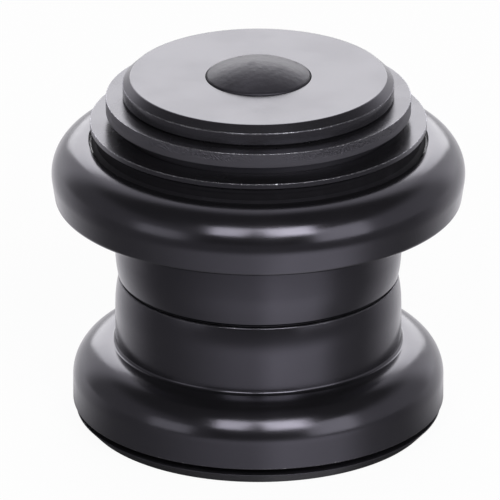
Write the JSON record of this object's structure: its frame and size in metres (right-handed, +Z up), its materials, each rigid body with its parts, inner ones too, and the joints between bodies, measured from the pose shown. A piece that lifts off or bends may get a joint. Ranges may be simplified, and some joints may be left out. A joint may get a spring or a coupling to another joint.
{
  "type": "threadless bicycle headset",
  "caption": "Threadless bicycle headset with external cups, ball bearings, bearing cover, spacer and top cap, stacked as it stands without a head tube.",
  "frame": {"origin": "on the steering axis, in the plane where the crown race meets the fork crown", "axes": "+Z up along the steering axis, towards the top cap; the slit of the compression ring faces +Y"},
  "size_m": [0.0488, 0.0488, 0.0451],
  "materials": {
    "cup_finish": "gloss black coat",
    "cap_finish": "satin black anodised",
    "spacer_finish": "black anodised, with a rough sheared edge",
    "cover_finish": "satin black anodised",
    "ring_alloy": "black anodised",
    "race_steel": "ground bearing steel",
    "ball_steel": "polished bearing steel",
    "retainer_steel": "pressed steel",
    "bolt_steel": "black oxide",
    "nut_steel": "zinc plated",
    "seal_rubber": "matte black",
    "plug_rubber": "matte black"
  },
  "bodies": {
    "cups": {"upper_cup": "cup_finish", "lower_cup": "cup_finish", "upper_cup_race": "race_steel", "lower_cup_race": "race_steel"},
    "top_stack": {"top_cap": "cap_finish", "cap_plug": "plug_rubber", "spacer": "spacer_finish", "compression_ring": "ring_alloy", "bearing_cover": "cover_finish", "cover_seal": "seal_rubber", "upper_cone": "race_steel"},
    "upper_bearing": {"upper_balls": "ball_steel", "upper_retainer": "retainer_steel"},
    "crown": {"crown_race": "race_steel", "crown_race_seal": "seal_rubber"},
    "lower_bearing": {"lower_balls": "ball_steel", "lower_retainer": "retainer_steel"},
    "bolt": {"cap_bolt": "bolt_steel"},
    "star_nut": {"star_nut_sleeve": "nut_steel", "star_nut_upper_star": "nut_steel", "star_nut_lower_star": "nut_steel"}
  },
  "joints": [
    {"name": "steer_top", "type": "hinge", "parent": "cups", "child": "top_stack", "pos_m": [0, 0, 0.03445], "axis": [0, 0, 1], "continuous": true},
    {"name": "upper_balls_roll", "type": "hinge", "parent": "cups", "child": "upper_bearing", "pos_m": [0, 0, 0.03265], "axis": [0, 0, 1], "continuous": true},
    {"name": "steer_bottom", "type": "hinge", "parent": "cups", "child": "crown", "pos_m": [0, 0, 0.0022], "axis": [0, 0, 1], "continuous": true},
    {"name": "lower_balls_roll", "type": "hinge", "parent": "cups", "child": "lower_bearing", "pos_m": [0, 0, 0.00485], "axis": [0, 0, 1], "continuous": true},
    {"name": "bolt_turn", "type": "hinge", "parent": "top_stack", "child": "bolt", "pos_m": [0, 0, 0.03505], "axis": [0, 0, -1], "range_deg": [-1080, 2160]},
    {"name": "nut_climb", "type": "slide", "parent": "top_stack", "child": "star_nut", "axis": [0, 0, 1], "range_m": [-0.003, 0.006]}
  ],
  "couplings": [
    {"joint": "upper_balls_roll", "follows": "steer_top", "ratio": 0.4599},
    {"joint": "lower_balls_roll", "follows": "steer_bottom", "ratio": 0.4599},
    {"joint": "bolt_turn", "follows": "nut_climb", "rad_per_m": 6283.2}
  ]
}
